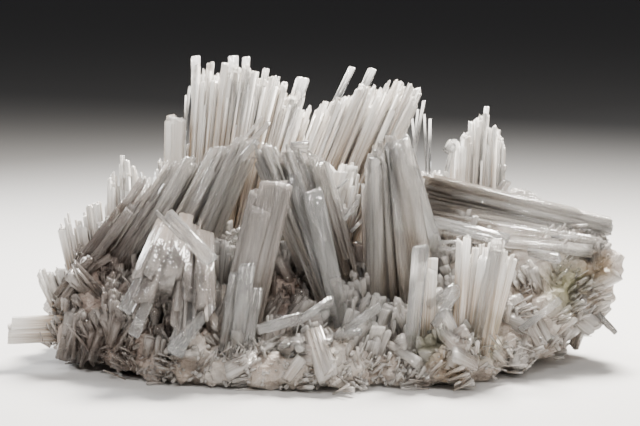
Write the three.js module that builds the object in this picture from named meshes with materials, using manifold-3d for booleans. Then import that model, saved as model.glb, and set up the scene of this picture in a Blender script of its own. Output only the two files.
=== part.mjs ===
// A scolecite specimen: sprays of long, flat-faced crystals standing on a lumpy crust.
// Millimetres, X along the specimen, Y from its front to its back, Z up from the surface it rests on.
import * as THREE from "three";
import { mergeVertices } from "three/addons/utils/BufferGeometryUtils.js";
import Module from "manifold-3d";

const wasm = await Module();
wasm.setup();

// Driving dimensions of the crust that carries the sprays.
const CRUST = {
  centre: [1, 0],
  halfLength: 63,
  halfWidth: 30,
  thickness: 7,
  mounds: [
    { at: [-4, 3], rise: 20, reach: [34, 15] },
    { at: [-44, 0], rise: 15, reach: [17, 15] },
    { at: [37, 1], rise: 17, reach: [14, 13] },
    { at: [59, -1], rise: 19, reach: [12, 14] },
  ],
  flatFrom: -42,
  flatTo: 38,
  leftLift: 5,
  rightLift: 7,
  spokes: 32,
  rings: 12,
};

// Blocky crystals that stud the crust: how many go round it, and their edges.
const BLOCKS = { count: 15, smallest: 4, largest: 7 };

// Single blocks at places of their own: centre and edge.
const SINGLE_BLOCKS = [
  { at: [3, -29, 5.2], edge: 6.5 },
  { at: [29, -28, 6], edge: 7.5 },
  { at: [65, -2, 23], edge: 7 },
];

// Two pieces that grew against each other keep this seam between them.
const GROWTH_SEAM = 0.3;

// A blade's thickness, foot and shoulder as shares of its width, and how far it may turn about its length.
const BLADE = { thickness: 0.9, foot: 0.85, shoulder: 0.55, turn: 0.4 };

// The blades of a spray are one mass up to this share of their length.
const MASS = { share: 0.4, thinnest: 1.6 };

const COLOURS = { clear: 0xc4beb8, white: 0xe9e4dc, stained: 0x8f7c68 };

// Each spray is a sheaf of blades between a foot line and a tip line, whose ends are given left to right.
// Every other blade stands back by deep, arch raises the middle of the tip line, ragged is the share by
// which tips fall short, and singles are crystals that stand out of the sheaf. Sprays earlier in the
// list stand whole, and later ones stop against them.
const SPRAYS = [
  {
    name: "front_block_spray",
    foot: [[-21, -25, 6], [-14, -25, 6]],
    tip: [[-11.5, -15, 45], [-6, -14, 43.5]],
    columns: 3, deep: 2, width: 4, ragged: 0.1, colour: "clear",
    singles: [{ foot: [-18, -28, 6], tip: [-14.9, -24.5, 26.5], width: 6 }],
  },
  {
    name: "bright_blade",
    foot: [[21, -26, 5], [25, -25, 5]],
    tip: [[22.2, -23.5, 30.5], [26.2, -20, 31.5]],
    columns: 2, deep: 0, width: 4.6, ragged: 0.05, colour: "clear",
    singles: [],
  },
  {
    name: "front_right_spray",
    foot: [[30.3, -23, 4], [37, -23, 4]],
    tip: [[32, -18, 33], [43, -20.5, 29.8]],
    columns: 4, deep: 1.5, width: 4, ragged: 0.12, colour: "clear",
    singles: [{ foot: [32, -25, 7], tip: [27.4, -27, 17], width: 2.4 }],
  },
  {
    name: "front_low_spray",
    foot: [[-8, -14, 9], [4, -15, 9]],
    tip: [[-14, -33, 8], [1.5, -34.5, 9.5]],
    columns: 3, deep: 1.5, width: 4.4, ragged: 0.2, colour: "clear",
    singles: [{ foot: [0, -18, 8], tip: [9, -31, 13], width: 2.6 }],
  },
  {
    name: "front_left_spray",
    foot: [[-34, -11, 35], [-24, -12, 34]],
    tip: [[-41, -30, 20.5], [-22, -36.5, 10]],
    arch: 1.5,
    columns: 6, deep: 2.5, width: 4.2, ragged: 0.15, colour: "clear",
    singles: [{ foot: [-25, -20, 22], tip: [-29.5, -35, 9], width: 4 }],
  },
  {
    name: "centre_blade_spray",
    foot: [[11.6, -16, 8], [27, -9, 14]],
    tip: [[12.2, -8, 51], [18, -5, 53.5]],
    columns: 5, deep: 3, width: 4.2, ragged: 0.1, colour: "clear",
    singles: [{ foot: [29, -8, 20], tip: [20, -6, 49], width: 3.6 }],
  },
  {
    name: "centre_right_spray",
    foot: [[2, -13, 10], [12, -10, 11]],
    tip: [[-15.4, -2, 52], [2, -3, 48]],
    columns: 6, deep: 3, width: 4, ragged: 0.1, colour: "clear",
    singles: [{ foot: [6, -17, 11], tip: [-0.8, -10.5, 40.5], width: 4.6 }],
  },
  {
    name: "centre_left_spray",
    foot: [[-51.7, -3, 17], [-31, -10, 12]],
    tip: [[-31.7, 0, 46.6], [-14, -2.5, 52]],
    columns: 6, deep: 3.5, width: 4.8, ragged: 0.12, colour: "clear",
    singles: [{ foot: [-28, -4, 36], tip: [-10.4, -3, 55], width: 1.6 }],
  },
  {
    name: "left_spray",
    foot: [[-60, -4, 12], [-46, -9, 7]],
    tip: [[-38, 1, 41.5], [-27, -4, 35]],
    columns: 5, deep: 3.5, width: 4.4, ragged: 0.12, colour: "clear",
    singles: [],
  },
  {
    name: "inner_spray",
    foot: [[-12, -3, 18], [5, -4, 16]],
    tip: [[-4, 2, 43], [12, 2, 47.5]],
    columns: 3, deep: 2, width: 6, ragged: 0.15, colour: "white",
    singles: [],
  },
  {
    name: "right_ridge_spray",
    foot: [[21.5, 0, 26.5], [29, 3, 39.5]],
    tip: [[65, -5, 23], [69.5, 3, 30]],
    columns: 4, deep: 3.5, width: 5, ragged: 0.05, colour: "clear",
    singles: [{ foot: [25, -3, 33], tip: [43, -9, 29], width: 3.6 }],
  },
  {
    name: "right_tower_spray",
    foot: [[31, 8, 14], [43, 8, 14]],
    tip: [[32.6, 14, 51], [44.5, 14, 51]],
    arch: 4,
    columns: 5, deep: 3, width: 4, ragged: 0.1, colour: "white",
    singles: [
      { foot: [38, 11, 38], tip: [39.9, 13.5, 57.2], width: 1.8 },
      { foot: [39, 9, 32], tip: [43.4, 9.5, 44], width: 2.8 },
      { foot: [40, 6, 35], tip: [47.5, 5.5, 38], width: 1.6 },
    ],
  },
  {
    name: "saddle_spray",
    foot: [[19, 5, 15], [31, 6, 15]],
    tip: [[20.4, 8, 45], [29.6, 8, 43]],
    columns: 3, deep: 1.5, width: 4, ragged: 0.08, colour: "white",
    singles: [
      { foot: [20.8, 7.5, 36], tip: [25, 9, 59], width: 1.2 },
      { foot: [24.2, 7.5, 36], tip: [22.2, 7, 55], width: 1 },
      { foot: [26.3, 7.5, 35], tip: [26.3, 7, 55], width: 1.2 },
      { foot: [28, 7.5, 35], tip: [32.2, 9, 50], width: 1.4 },
    ],
  },
  {
    name: "back_centre_spray",
    foot: [[-14, 4, 18], [5, 5, 18]],
    tip: [[4, 14, 60], [25, 12, 63]],
    arch: 3,
    columns: 5, deep: 3.5, width: 5.4, ragged: 0.07, colour: "white",
    singles: [
      { foot: [-1, 11, 47], tip: [8.6, 14.5, 66.4], width: 2 },
      { foot: [5, 11, 48], tip: [13.3, 14.5, 66], width: 2.4 },
    ],
  },
  {
    name: "back_left_spray",
    foot: [[-31, 5, 16], [-15, 5, 17]],
    tip: [[-28, 15, 68.5], [-0.8, 18, 59]],
    arch: 3,
    columns: 7, deep: 4, width: 5.4, ragged: 0.05, colour: "white",
    singles: [
      { foot: [-21, 10.5, 42], tip: [-18.8, 16, 69], width: 2.6 },
      { foot: [-9, 12, 44], tip: [-3, 17.5, 63.8], width: 2.8 },
    ],
  },
  {
    name: "shoulder_blade",
    foot: [[-35, 6, 14], [-32, 6, 14]],
    tip: [[-34, 10, 56], [-31, 10, 56.5]],
    columns: 2, deep: 0, width: 3.6, ragged: 0.04, colour: "clear",
    singles: [{ foot: [-31.5, 9, 40], tip: [-29.3, 12, 62], width: 1.2 }],
  },
  {
    name: "left_tower_spray",
    foot: [[-48, 4, 10], [-39, 4, 10]],
    tip: [[-48, 8, 45], [-41, 8, 43.5]],
    arch: 3,
    columns: 4, deep: 1.5, width: 3, ragged: 0.1, colour: "white",
    singles: [],
  },
  {
    name: "left_edge_spray",
    foot: [[-54, 2, 8], [-47, 2, 8]],
    tip: [[-58.5, 2, 34], [-50, 4, 37]],
    columns: 3, deep: 1.5, width: 3.2, ragged: 0.12, colour: "white",
    singles: [],
  },
  {
    name: "far_left_spray",
    foot: [[-58, -3, 7], [-52, -3, 7]],
    tip: [[-65, -4, 22.5], [-56.5, -2, 23.5]],
    columns: 3, deep: 1, width: 2.8, ragged: 0.1, colour: "white",
    singles: [],
  },
  {
    name: "far_left_blade",
    foot: [[-53, -8, 6.6], [-53, -8, 11]],
    tip: [[-69.3, -10, 6.6], [-68.4, -10, 10.6]],
    columns: 2, deep: 0, width: 4.8, ragged: 0.02, colour: "clear",
    singles: [],
  },
  {
    name: "low_right_blade",
    foot: [[57, -5, 20], [57, -4, 19]],
    tip: [[68.2, -8.4, 7.6], [67.6, -7, 7.4]],
    columns: 1, deep: 0, width: 2.8, ragged: 0, colour: "clear",
    singles: [],
  },
  {
    name: "rear_left_spray",
    foot: [[-19, 11, 13], [-40, 9, 9]],
    tip: [[-21, 32, 47], [-46, 29, 37]],
    arch: 3,
    columns: 5, deep: 3, width: 6, ragged: 0.12, colour: "white",
    singles: [],
  },
  {
    name: "rear_centre_spray",
    foot: [[13, 12, 13], [-13, 12, 13]],
    tip: [[17, 34, 43], [-15, 35, 48]],
    arch: 3,
    columns: 6, deep: 3, width: 6.2, ragged: 0.12, colour: "white",
    singles: [],
  },
  {
    name: "rear_right_spray",
    foot: [[46, 9, 12], [20, 11, 12]],
    tip: [[55, 29, 34], [23, 33, 41]],
    arch: 2,
    columns: 5, deep: 3, width: 6.2, ragged: 0.12, colour: "white",
    singles: [],
  },
  {
    name: "rear_low_spray",
    foot: [[6, 14, 8], [-18, 14, 8]],
    tip: [[7, 36.5, 13], [-24, 35.5, 15]],
    columns: 6, deep: 2, width: 6.2, ragged: 0.15, colour: "clear",
    singles: [],
  },
];

// The layout's middle moved to the origin.
const SHIFT = [-0.38, -0.65, 0];

// A number from 0 to 1 that is the same each time for the nth draw of a seed.
function scatter(seed, n) {
  const wave = Math.sin(seed * 12.9898 + n * 78.233) * 43758.5453;
  return wave - Math.floor(wave);
}

function vector(point) {
  return new THREE.Vector3(...point);
}

// A closed geometry as a solid that can be joined and cut.
function solidOf(geometry) {
  const bare = geometry.clone();
  for (const name of ["normal", "uv"]) bare.deleteAttribute(name);
  const merged = mergeVertices(bare, 1e-4);
  return new wasm.Manifold(
    new wasm.Mesh({
      numProp: 3,
      vertProperties: merged.attributes.position.array,
      triVerts: new Uint32Array(merged.index.array),
    }),
  );
}

function geometryOf(solid) {
  const mesh = solid.getMesh();
  const geometry = new THREE.BufferGeometry();
  geometry.setAttribute("position", new THREE.BufferAttribute(mesh.vertProperties, 3));
  geometry.setIndex(new THREE.BufferAttribute(mesh.triVerts, 1));
  return geometry;
}

function joined(solids) {
  return solids.reduce((whole, next) => whole.add(next));
}

// The largest body of a cut solid: slivers that a cut left loose are dropped.
function mainBody(solid) {
  return solid.decompose().reduce((best, body) => (body.volume() > best.volume() ? body : best));
}

// Height of the crust's top above a point of its plan.
function crustTop(x, y) {
  const mounds = CRUST.mounds.map(({ at, rise, reach }) => {
    const across = (x - at[0]) / reach[0];
    const deep = (y - at[1]) / reach[1];
    return rise * Math.exp(-across * across - deep * deep);
  });
  const ripple = 0.9 * Math.sin(0.31 * x + 0.17 * y) + 0.7 * Math.sin(0.23 * y - 0.41 * x + 1.3);
  return CRUST.thickness + ripple + mounds.reduce((sum, rise) => sum + rise, 0);
}

// Height of the crust's underside: flat along the middle, lifting towards both ends.
function crustUnder(x) {
  const end = CRUST.halfLength;
  const left = Math.max(0, (CRUST.flatFrom - x) / (CRUST.flatFrom + end));
  const right = Math.max(0, (x - CRUST.flatTo) / (end - CRUST.flatTo));
  return CRUST.leftLift * left ** 1.5 + CRUST.rightLift * right ** 1.5;
}

// The crust's plan is an oval with bays and points.
function rimFactor(angle) {
  const bays = 0.05 * Math.sin(3 * angle + 0.6) + 0.04 * Math.sin(7 * angle + 2);
  return 1 + bays + 0.03 * Math.sin(11 * angle + 1);
}

// A unit sphere whose points are moved to the crust's rim, top and underside. grown thickens it all round.
function crustBody(grown) {
  const geometry = new THREE.SphereGeometry(1, CRUST.spokes, CRUST.rings).rotateX(Math.PI / 2);
  const points = geometry.attributes.position;
  for (let i = 0; i < points.count; i++) {
    const ball = new THREE.Vector3().fromBufferAttribute(points, i);
    const rim = rimFactor(Math.atan2(ball.y, ball.x));
    const x = CRUST.centre[0] + ball.x * rim * CRUST.halfLength;
    const y = CRUST.centre[1] + ball.y * rim * CRUST.halfWidth;
    const under = crustUnder(x);
    const top = crustTop(x, y) + under / 2;
    const middle = under + 0.4 * (top - under);
    const rounding = Math.min(1, 1.35 * Math.sqrt(Math.abs(ball.z)));
    const reach = ball.z > 0 ? top - middle : under - middle;
    const z = middle + reach * rounding + grown * Math.sign(ball.z);
    points.setXYZ(i, x + grown * ball.x, y + grown * ball.y, z);
  }
  return solidOf(geometry);
}

// A cube turned its own way, as a blocky crystal.
function block(centre, edge, seed) {
  const turn = new THREE.Euler(...[1, 2, 3].map((n) => Math.PI * scatter(seed, n)));
  const geometry = new THREE.BoxGeometry(edge, edge * 0.8, edge * 0.9);
  geometry.applyMatrix4(new THREE.Matrix4().makeRotationFromEuler(turn).setPosition(...centre));
  return solidOf(geometry);
}

// Blocks spread round the crust's rim by the golden angle, none lower than the surface it rests on.
function crustBlocks(grown) {
  const goldenAngle = Math.PI * (3 - Math.sqrt(5));
  const ring = Array.from({ length: BLOCKS.count }, (_, n) => {
    const angle = n * goldenAngle;
    const share = 0.78 + 0.17 * scatter(2, n);
    const edge = BLOCKS.smallest + (BLOCKS.largest - BLOCKS.smallest) * scatter(3, n);
    const x = CRUST.centre[0] + share * rimFactor(angle) * CRUST.halfLength * Math.cos(angle);
    const y = CRUST.centre[1] + share * rimFactor(angle) * CRUST.halfWidth * Math.sin(angle);
    const z = crustUnder(x) + edge * 0.8 + (crustTop(x, y) - crustUnder(x)) * 0.6 * scatter(4, n);
    return { at: [x, y, z], edge };
  });
  return [...ring, ...SINGLE_BLOCKS].map(({ at, edge }, n) => block(at, edge + 2 * grown, n + 1));
}

function crust(grown) {
  return joined([crustBody(grown), ...crustBlocks(grown)]);
}

// The two lines of a spray and its own directions: along the tip line, along the growth, and into its depth.
function layoutOf(spray) {
  const [footLeft, footRight] = spray.foot.map(vector);
  const [tipLeft, tipRight] = spray.tip.map(vector);
  const growth = tipLeft.clone().add(tipRight).sub(footLeft).sub(footRight).normalize();
  const across = tipRight.clone().sub(tipLeft).normalize();
  const inwards = across.clone().cross(growth).normalize();
  return { footLeft, footRight, tipLeft, tipRight, growth, across, inwards };
}

// A blade: an outline with a chisel end, given its thickness and laid from foot to tip.
function blade({ foot, tip, across, width, seed }, grown) {
  const way = tip.clone().sub(foot);
  const length = way.length();
  const half = width / 2;
  const lean = (scatter(seed, 1) - 0.5) * width * 0.7;
  const shoulder = Math.min(length / 3, width * BLADE.shoulder * (0.4 + scatter(seed, 2)));
  const outline = new THREE.Shape([
    new THREE.Vector2(-half * BLADE.foot - grown, -grown),
    new THREE.Vector2(half * BLADE.foot + grown, -grown),
    new THREE.Vector2(half + grown, length - shoulder),
    new THREE.Vector2(lean, length + grown),
    new THREE.Vector2(-half - grown, length - shoulder * scatter(seed, 3)),
  ]);
  const depth = width * BLADE.thickness + 2 * grown;
  const geometry = new THREE.ExtrudeGeometry(outline, { depth, bevelEnabled: false, steps: 1 });
  geometry.translate(0, 0, -depth / 2);
  geometry.rotateY((scatter(seed, 4) - 0.5) * 2 * BLADE.turn);
  const side = across.clone().projectOnPlane(way).normalize();
  const along = way.clone().normalize();
  const basis = new THREE.Matrix4().makeBasis(side, along, side.clone().cross(along)).setPosition(foot);
  return solidOf(geometry.applyMatrix4(basis));
}

// The blades of a spray, from the left end of its lines to the right end, and then its singles.
function bladesOf(spray, seed) {
  const { footLeft, footRight, tipLeft, tipRight, growth, across, inwards } = layoutOf(spray);
  const blades = [];
  for (let column = 0; column < spray.columns; column++) {
    const draw = seed * 100 + column;
    const along = spray.columns === 1 ? 0.5 : column / (spray.columns - 1);
    const setback = ((column % 2) - 0.5) * spray.deep;
    const drift = (scatter(draw, 5) - 0.5) * spray.width * 0.5;
    const foot = footLeft.clone().lerp(footRight, along).addScaledVector(inwards, setback);
    const tip = tipLeft.clone().lerp(tipRight, along).addScaledVector(inwards, setback);
    tip.addScaledVector(across, drift);
    tip.addScaledVector(growth, (spray.arch ?? 0) * (1 - (2 * along - 1) ** 2));
    tip.lerp(foot, spray.ragged * scatter(draw, 6));
    blades.push({ foot, tip, across, width: spray.width * (0.85 + 0.35 * scatter(draw, 7)), seed: draw });
  }
  const singles = spray.singles.map(({ foot, tip, width }, n) => {
    return { foot: vector(foot), tip: vector(tip), across, width, seed: seed * 100 + 50 + n };
  });
  return [...blades, ...singles];
}

// The solid foot of a spray, where its blades have grown into one mass: a box drawn between the two lines.
function massOf(spray, grown) {
  const { footLeft, footRight, tipLeft, tipRight, inwards } = layoutOf(spray);
  const geometry = new THREE.BoxGeometry(1, 1, 1);
  const points = geometry.attributes.position;
  for (let i = 0; i < points.count; i++) {
    const corner = new THREE.Vector3().fromBufferAttribute(points, i);
    const up = (corner.y + 0.5) * MASS.share;
    const left = footLeft.clone().lerp(tipLeft, up);
    const right = footRight.clone().lerp(tipRight, up);
    const depth = Math.max(MASS.thinnest, spray.deep) + 2 * grown;
    const place = left.lerp(right, corner.x + 0.5).addScaledVector(inwards, corner.z * depth);
    points.setXYZ(i, ...place.toArray());
  }
  return solidOf(geometry);
}

function spraySolid(spray, seed, grown) {
  const blades = bladesOf(spray, seed).map((one) => blade(one, grown));
  return joined([massOf(spray, grown), ...blades]);
}

function mesh(name, solid, colour) {
  const material = new THREE.MeshStandardMaterial({ color: COLOURS[colour], roughness: 0.3, metalness: 0 });
  const made = new THREE.Mesh(geometryOf(solid), material);
  made.name = name;
  return made;
}

const specimen = new THREE.Group();
specimen.position.set(...SHIFT);
specimen.add(mesh("crust", mainBody(crust(0)), "stained"));

// Each spray is cut back by the crust and by the sprays before it, so that it ends against them.
let grownSoFar = crust(GROWTH_SEAM);
SPRAYS.forEach((spray, n) => {
  const solid = spraySolid(spray, n + 1, 0);
  specimen.add(mesh(spray.name, mainBody(solid.subtract(grownSoFar)), spray.colour));
  grownSoFar = grownSoFar.add(spraySolid(spray, n + 1, GROWTH_SEAM));
});

export default specimen;
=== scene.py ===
import math

import bpy
import numpy as np
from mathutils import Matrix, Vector


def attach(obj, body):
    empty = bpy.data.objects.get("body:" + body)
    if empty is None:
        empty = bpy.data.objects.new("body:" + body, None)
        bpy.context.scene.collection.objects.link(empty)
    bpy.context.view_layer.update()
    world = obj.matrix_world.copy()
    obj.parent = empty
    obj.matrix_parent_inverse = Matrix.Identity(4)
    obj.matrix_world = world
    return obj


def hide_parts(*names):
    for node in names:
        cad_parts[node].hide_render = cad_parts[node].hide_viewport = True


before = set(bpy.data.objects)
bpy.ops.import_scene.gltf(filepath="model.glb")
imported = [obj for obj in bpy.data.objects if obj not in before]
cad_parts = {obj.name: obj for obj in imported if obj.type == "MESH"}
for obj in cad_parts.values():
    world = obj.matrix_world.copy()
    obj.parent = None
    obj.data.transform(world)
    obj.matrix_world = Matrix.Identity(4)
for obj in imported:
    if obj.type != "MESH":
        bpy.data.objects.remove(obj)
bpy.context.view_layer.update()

mm = 0.001
layoutShift = np.array([-0.38, -0.65, 0.0])  # millimetres, the same move to the origin as the solids have


def dropSelection():
    if bpy.context.object and bpy.context.object.mode != "OBJECT":
        bpy.ops.object.mode_set(mode="OBJECT")
    bpy.ops.object.select_all(action="DESELECT")


def useOnly(piece):
    dropSelection()
    piece.select_set(True)
    bpy.context.view_layer.objects.active = piece


# Materials


class Sock:  # a shader socket that + - * and the node methods build on
    def __init__(self, tree, socket=None):
        self.tree = tree
        self.socket = socket

    def add(self, kind, settings=None, inputs=None, out=0):
        made = self.tree.nodes.new("ShaderNode" + kind)
        for name, value in (settings or {}).items():
            setattr(made, name, value)
        for name, value in (inputs or {}).items():
            if isinstance(value, Sock):
                self.tree.links.new(value.socket, made.inputs[name])
            else:
                made.inputs[name].default_value = value
        return Sock(self.tree, made.outputs[out])

    def maths(self, operation, first, second):
        return self.add("Math", {"operation": operation}, {0: first, 1: second})

    def __add__(self, other):
        return self.maths("ADD", self, other)

    __radd__ = __add__

    def __mul__(self, other):
        return self.maths("MULTIPLY", self, other)

    __rmul__ = __mul__

    def __sub__(self, other):
        return self.maths("SUBTRACT", self, other)

    def __rsub__(self, other):
        return self.maths("SUBTRACT", other, self)

    def ramp(self, low, high):  # 0 below low, 1 above high, smooth between
        settings = {"interpolation_type": "SMOOTHSTEP"}
        return self.add("MapRange", settings, {"Value": self, "From Min": low, "From Max": high})

    def blend(self, first, second):  # colours mixed by this socket
        return self.add("Mix", {"data_type": "RGBA"}, {0: self, 6: first, 7: second}, out=2)

    def noise(self, scale, detail=3.0, roughness=0.55):
        inputs = {"Vector": self, "Scale": scale, "Detail": detail, "Roughness": roughness}
        return self.add("TexNoise", None, inputs, out="Fac")

    def stretch(self, factors):
        return self.add("VectorMath", {"operation": "MULTIPLY"}, {0: self, 1: factors})

    def near(self, spot, reach, core=0.2):  # 1 in the core round a place in millimetres, 0 beyond reach
        centre = tuple((np.array(spot) + layoutShift) * mm)
        gap = self.add("VectorMath", {"operation": "DISTANCE"}, {0: self, 1: centre}, out="Value")
        return 1 - gap.ramp(reach * mm * core, reach * mm)


def rgba(colour):
    return (*colour, 1.0)


stainsAndShade = {  # rust and olive patches where iron has stained the specimen, and brown patches that are a brown tint and also painted shade, mostly on the shadowed lower left: place and reach in millimetres
    "rust": [((64, -8, 23), 6), ((29, -30, 5), 6), ((-44, -2, 33), 5)],
    "olive": [((58, -12, 20), 11), ((38, -24, 11), 8), ((24, -26, 9), 7)],
    # brown patches: a brown tint, and painted shade on the shadowed lower left
    "brownAndShade": [
        ((-44, -14, 9), 25), ((-46, -4, 22), 20), ((-30, -18, 12), 16),
        ((-8, -10, 18), 14), ((8, -4, 28), 14),
    ],
    "patchy": (0.22, 0.55),
    "rustColour": (0.25, 0.16, 0.07),
    "oliveColour": (0.19, 0.18, 0.1),
    "brownAndShadeColour": (0.19, 0.14, 0.115),
}


# mixes the stains into a colour; the brown patches also paint shade
def stainedAndShaded(colour, place, uneven, share):
    for kind in ("brownAndShade", "olive", "rust"):
        masks = [place.near(spot, reach) for spot, reach in stainsAndShade[kind]]
        mask = masks[0]
        for other in masks[1:]:
            mask = mask.maths("MAXIMUM", mask, other)
        mask = mask * uneven.ramp(*stainsAndShade["patchy"]) * share
        colour = mask.blend(colour, rgba(stainsAndShade[kind + "Colour"]))
    return colour


crystalPattern = {  # the same on every finish: stretch, scale, detail and where each effect starts and ends
    "streakStretch": (2.2, 0.025, 1.0), "streakDetail": 3.0, "streakRoughness": 0.7,
    "streakEdge": (0.46, 0.6),
    "cloudScale": 160.0, "cloudDetail": 1.0, "cloudShift": 0.4, "cloudGloss": (0.35, 0.7),
    "patchScale": 90.0, "patchDetail": 2.0, "shadedTones": (0.35, 1.0), "bumpHeight": 0.0005,
}


def crystalFinish(name, look):
    pattern = crystalPattern
    material = bpy.data.materials.new(name)
    material.use_nodes = True
    tree = material.node_tree
    shader = tree.nodes["Principled BSDF"]
    start = Sock(tree)
    tone = start.add("Attribute", {"attribute_name": "tone"}, out="Fac")  # one value for each crystal
    grown = start.add("Attribute", {"attribute_name": "grown"}, out="Fac")  # 0 at the foot, 1 at the tip
    place = start.add("TexCoord", out="Object")
    faceMap = start.add("UVMap", {"uv_map": "faceMap"})  # millimetres round and along a crystal
    lengthwise = faceMap.stretch(pattern["streakStretch"])
    streak = lengthwise.noise(1.0, pattern["streakDetail"], pattern["streakRoughness"])
    cloudy = place.noise(pattern["cloudScale"], pattern["cloudDetail"])
    uneven = place.noise(pattern["patchScale"], pattern["patchDetail"])
    # painted shade: darker and browner towards the foot, deep inside the cluster, lighter towards the tip
    footShading = grown + cloudy * pattern["cloudShift"] - pattern["cloudShift"] / 2
    colour = footShading.ramp(*look["footShading"]).blend(rgba(look["foot"]), rgba(look["tip"]))
    colour = (tone.ramp(*pattern["shadedTones"]) * look["uneven"]).blend(colour, rgba(look["shade"]))
    # whiter lengthwise streaks: the striations' own tone, and painted glints along them
    colour = (streak.ramp(*pattern["streakEdge"]) * look["streakGlints"]).blend(colour, rgba(look["bright"]))
    # stains, with painted shade where the brown patches lie
    colour = stainedAndShaded(colour, place, uneven, look["stainAndShade"])
    low, high = look["roughness"]
    roughness = cloudy.ramp(*pattern["cloudGloss"]) * (high - low) + low
    bumpInputs = {"Strength": look["bump"], "Distance": pattern["bumpHeight"], "Height": streak}
    bump = start.add("Bump", None, bumpInputs, out="Normal")
    for socket, value in {"Base Color": colour, "Roughness": roughness, "Normal": bump}.items():
        tree.links.new(value.socket, shader.inputs[socket])
    shader.inputs["Transmission Weight"].default_value = look["transmission"]
    shader.inputs["IOR"].default_value = look["ior"]
    return material


# foot: the colour at a crystal's foot, darkened with painted shade of the cluster's inside; tip: the colour
# at its end
clearLook = {
    "foot": (0.58, 0.47, 0.37), "tip": (0.9, 0.87, 0.83), "bright": (1.0, 0.99, 0.97),
    "shade": (0.6, 0.54, 0.48), "footShading": (0.0, 0.7), "streakGlints": 0.75, "uneven": 0.6, "stainAndShade": 0.8,
    "roughness": (0.02, 0.14), "bump": 0.7, "transmission": 0.86, "ior": 1.52,
}
# painted shade: a darker, greyer copy of the clear finish, for the front and left sprays that face away from
# the key light
shadedClearLook = {
    "foot": (0.46, 0.37, 0.3), "tip": (0.68, 0.63, 0.59), "bright": (0.9, 0.88, 0.86),
    "shade": (0.46, 0.4, 0.36), "footShading": (0.0, 0.7), "streakGlints": 0.5, "uneven": 0.6, "stainAndShade": 0.9,
    "roughness": (0.03, 0.16), "bump": 0.7, "transmission": 0.8, "ior": 1.52,
}
whiteLook = {
    "foot": (0.58, 0.45, 0.33), "tip": (0.96, 0.93, 0.88), "bright": (1.0, 0.99, 0.97),
    "shade": (0.62, 0.53, 0.44), "footShading": (0.4, 0.95), "streakGlints": 0.6, "uneven": 0.6, "stainAndShade": 0.6,
    "roughness": (0.06, 0.25), "bump": 0.7, "transmission": 0.3, "ior": 1.52,
}
glassyLook = {
    "foot": (0.8, 0.76, 0.72), "tip": (0.95, 0.95, 0.94), "bright": (1.0, 1.0, 1.0),
    "shade": (0.75, 0.73, 0.71), "footShading": (0.0, 0.5), "streakGlints": 0.8, "uneven": 0.4, "stainAndShade": 0.3,
    "roughness": (0.02, 0.1), "bump": 0.5, "transmission": 0.92, "ior": 1.52,
}
drusyLook = {
    "foot": (0.5, 0.43, 0.37), "tip": (0.7, 0.67, 0.63), "bright": (0.95, 0.93, 0.9),
    "shade": (0.5, 0.45, 0.41), "footShading": (0.1, 0.95), "streakGlints": 0.5, "uneven": 0.5, "stainAndShade": 0.9,
    "roughness": (0.02, 0.16), "bump": 0.5, "transmission": 0.62, "ior": 1.52,
}
crystalFinishes = {
    "clear": crystalFinish("clearCrystal", clearLook),
    "shadedClear": crystalFinish("shadedClearCrystal", shadedClearLook),
    "white": crystalFinish("whiteCrystal", whiteLook),
    "glassy": crystalFinish("glassyCrystal", glassyLook),
    "drusy": crystalFinish("drusyCrystal", drusyLook),
}

rockLook = {
    "light": (0.47, 0.43, 0.39), "dark": (0.29, 0.24, 0.2), "roughness": (0.1, 0.45), "bump": 0.9,
    "grain": (700.0, 5.0), "patches": (120.0, 4.0), "patchEdge": (0.35, 0.65), "bumpHeight": 0.001,
}


def rockFinish(look):
    material = bpy.data.materials.new("crustRock")
    material.use_nodes = True
    tree = material.node_tree
    shader = tree.nodes["Principled BSDF"]
    place = Sock(tree).add("TexCoord", out="Object")
    grain = place.noise(*look["grain"])
    patches = place.noise(*look["patches"])
    colour = patches.ramp(*look["patchEdge"]).blend(rgba(look["dark"]), rgba(look["light"]))
    # stains, with painted shade where the brown patches lie
    colour = stainedAndShaded(colour, place, patches, 1.0)
    low, high = look["roughness"]
    roughness = grain * (high - low) + low
    bumpInputs = {"Strength": look["bump"], "Distance": look["bumpHeight"], "Height": grain}
    bump = grain.add("Bump", None, bumpInputs, out="Normal")
    for socket, value in {"Base Color": colour, "Roughness": roughness, "Normal": bump}.items():
        tree.links.new(value.socket, shader.inputs[socket])
    return material


crustRock = rockFinish(rockLook)
print("materials made")


# Crystal shapes: the body runs from 0 to 1 and the end from 1 to 2, so ends keep their slope at any length


def shapeArrays(model):  # points, triangles and the angle round the axis, and the model itself is removed
    mesh = model.data
    mesh.calc_loop_triangles()
    points = np.empty(len(mesh.vertices) * 3)
    mesh.vertices.foreach_get("co", points)
    points = points.reshape(-1, 3)
    corners = np.empty(len(mesh.loop_triangles) * 3, dtype=np.int32)
    mesh.loop_triangles.foreach_get("vertices", corners)
    corners = corners.reshape(-1, 3)
    turn = np.arctan2(points[corners][:, :, 1], points[corners][:, :, 0]) / (2 * math.pi)
    turn = np.where(turn.max(axis=1, keepdims=True) - turn > 0.5, turn + 1, turn)  # no jump at the seam
    bpy.data.objects.remove(model)
    return {"points": points, "corners": corners, "turn": turn}


def pickPoints(test):
    bpy.ops.mesh.select_mode(type="VERT")
    bpy.ops.mesh.select_all(action="DESELECT")
    bpy.ops.object.mode_set(mode="OBJECT")
    for point in bpy.context.object.data.vertices:
        point.select = test(point.co)
    bpy.ops.object.mode_set(mode="EDIT")


bladeModel = {"columns": 7, "grooves": (0.7, 0.95, 0.6, 0.88, 1.0, 0.72, 0.9), "edges": 0.62}


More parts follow.
